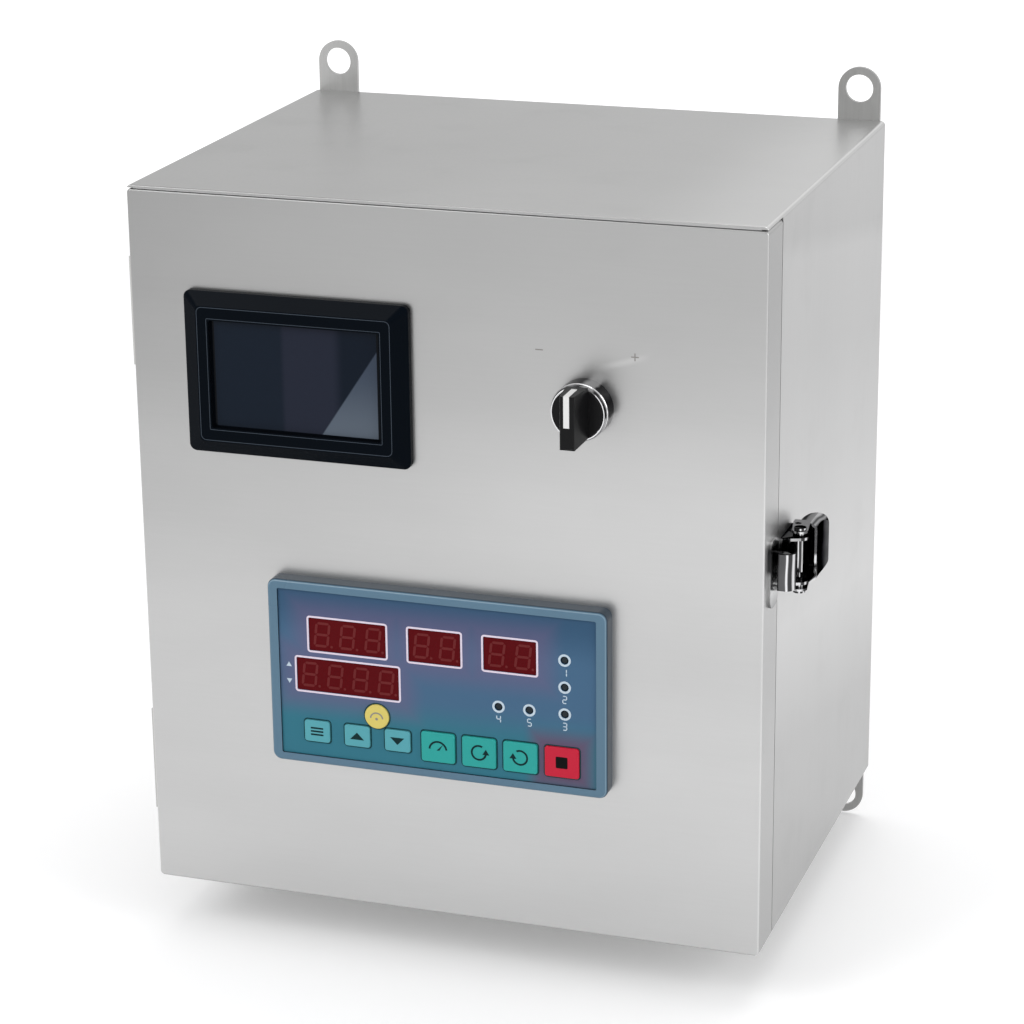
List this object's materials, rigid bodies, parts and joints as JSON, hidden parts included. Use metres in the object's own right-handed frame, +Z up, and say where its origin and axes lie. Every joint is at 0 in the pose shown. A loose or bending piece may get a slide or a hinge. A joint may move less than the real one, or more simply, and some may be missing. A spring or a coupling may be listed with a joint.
{
  "type": "vacuum tumbler control cabinet",
  "caption": "Wall control cabinet of a vacuum meat tumbler: stainless box, hinged door with touch screen, sprung selector, key and display panel, draw latch, wiring gear inside.",
  "frame": {"origin": "centre of the four lug holes, on the wall plane behind the cabinet", "axes": "+Y into the wall (the door faces -Y), +Z up, +X to the right seen from the front"},
  "size_m": [0.3763, 0.3022, 0.4604],
  "materials": {
    "stainless": "brushed stainless steel",
    "bright_steel": "polished stainless steel",
    "chrome_ring": "chrome plated",
    "zinc_steel": "zinc plated",
    "gasket_foam": "foamed polyurethane",
    "screen_body": "dark fine grain",
    "screen_pane": "dark clear cover",
    "black_plastic": "fine grain",
    "white_plastic": "satin",
    "frame_blue": "blue grey, satin",
    "overlay_blue": "printed film",
    "display_red": "dark red clear",
    "lamp_clear": "pale clear",
    "board_green": "solder mask",
    "key_light": "light teal",
    "key_teal": "teal",
    "key_red": "red",
    "key_yellow": "yellow",
    "grey_plastic": "grey",
    "light_grey_plastic": "light grey",
    "dark_grey_plastic": "dark grey",
    "beige_plastic": "beige",
    "heatsink_metal": "extruded",
    "supply_metal": "satin",
    "brass": "turned",
    "seal_rubber": "soft"
  },
  "bodies": {
    "cabinet": {"cabinet_shell": "stainless", "back_panel": "stainless", "wall_lugs": "stainless", "hinge_cabinet_leaves": "stainless", "hinge_pins": "bright_steel", "latch_base": "bright_steel", "latch_rivets": "bright_steel", "mounting_plate": "zinc_steel", "plate_studs": "zinc_steel", "plate_nuts": "zinc_steel", "din_rails": "zinc_steel", "wire_ducts": "grey_plastic", "duct_covers": "grey_plastic", "inverter_heatsink": "heatsink_metal", "inverter_housing": "dark_grey_plastic", "inverter_cover": "dark_grey_plastic", "circuit_breaker": "light_grey_plastic", "power_supply": "supply_metal", "contactors": "dark_grey_plastic", "terminal_blocks": "beige_plastic", "earth_stud": "brass", "gland_bodies": "black_plastic", "gland_seals": "seal_rubber", "gland_caps": "black_plastic", "gland_locknuts": "black_plastic"},
    "door": {"door_panel": "stainless", "door_gasket": "gasket_foam", "hinge_door_leaves": "stainless", "latch_keeper": "bright_steel", "screen_bezel": "screen_body", "screen_glass": "screen_pane", "screen_housing": "black_plastic", "screen_clamps": "zinc_steel", "selector_bezel": "chrome_ring", "selector_nut": "dark_grey_plastic", "selector_contact_block": "dark_grey_plastic", "panel_frame": "frame_blue", "panel_overlay": "overlay_blue", "display_lenses": "display_red", "display_modules": "black_plastic", "status_lamps": "lamp_clear", "panel_board": "board_green", "key_switches": "black_plastic", "panel_case": "black_plastic", "panel_clamps": "zinc_steel"},
    "selector": {"selector_knob": "black_plastic", "selector_index": "white_plastic"},
    "latch_lever": {"latch_lever": "bright_steel", "latch_link_pin": "bright_steel"},
    "latch_link": {"latch_link": "bright_steel"},
    "breaker_toggle": {"breaker_toggle": "black_plastic"},
    "key_set": {"key_set": "key_light"},
    "key_up": {"key_up": "key_light"},
    "key_down": {"key_down": "key_light"},
    "key_vacuum": {"key_vacuum": "key_teal"},
    "key_tumble": {"key_tumble": "key_teal"},
    "key_reverse": {"key_reverse": "key_teal"},
    "key_stop": {"key_stop": "key_red"},
    "key_vacuum_set": {"key_vacuum_set": "key_yellow"}
  },
  "joints": [
    {"name": "door_hinge", "type": "hinge", "parent": "cabinet", "child": "door", "pos_m": [-0.18, -0.2416, 0], "axis": [0, 0, -1], "range_deg": [0, 120]},
    {"name": "latch_lever_pivot", "type": "hinge", "parent": "cabinet", "child": "latch_lever", "pos_m": [0.184, -0.23, 0.013], "axis": [0, 0, -1], "range_deg": [0, 90]},
    {"name": "latch_link_pivot", "type": "hinge", "parent": "latch_lever", "child": "latch_link", "pos_m": [0.1805, -0.22, 0.013], "axis": [0, 0, -1], "range_deg": [-90, 0]},
    {"name": "selector_turn", "type": "hinge", "parent": "door", "child": "selector", "pos_m": [0.079, -0.283, 0.099], "axis": [0, 1, 0], "range_deg": [-45, 45], "stiffness_Nm_per_rad": 0.15},
    {"name": "breaker_switch", "type": "hinge", "parent": "cabinet", "child": "breaker_toggle", "pos_m": [0, -0.0885, 0.1], "axis": [1, 0, 0], "range_deg": [0, 80]},
    {"name": "key_set_press", "type": "slide", "parent": "door", "child": "key_set", "axis": [0, 1, 0], "range_m": [0, 0.0008], "stiffness_N_per_m": 2500},
    {"name": "key_up_press", "type": "slide", "parent": "door", "child": "key_up", "axis": [0, 1, 0], "range_m": [0, 0.0008], "stiffness_N_per_m": 2500},
    {"name": "key_down_press", "type": "slide", "parent": "door", "child": "key_down", "axis": [0, 1, 0], "range_m": [0, 0.0008], "stiffness_N_per_m": 2500},
    {"name": "key_vacuum_press", "type": "slide", "parent": "door", "child": "key_vacuum", "axis": [0, 1, 0], "range_m": [0, 0.0008], "stiffness_N_per_m": 2500},
    {"name": "key_tumble_press", "type": "slide", "parent": "door", "child": "key_tumble", "axis": [0, 1, 0], "range_m": [0, 0.0008], "stiffness_N_per_m": 2500},
    {"name": "key_reverse_press", "type": "slide", "parent": "door", "child": "key_reverse", "axis": [0, 1, 0], "range_m": [0, 0.0008], "stiffness_N_per_m": 2500},
    {"name": "key_stop_press", "type": "slide", "parent": "door", "child": "key_stop", "axis": [0, 1, 0], "range_m": [0, 0.0008], "stiffness_N_per_m": 2500},
    {"name": "key_vacuum_set_press", "type": "slide", "parent": "door", "child": "key_vacuum_set", "axis": [0, 1, 0], "range_m": [0, 0.0008], "stiffness_N_per_m": 2500}
  ],
  "couplings": [
    {"joint": "latch_link_pivot", "follows": "latch_lever_pivot", "ratio": -1}
  ]
}
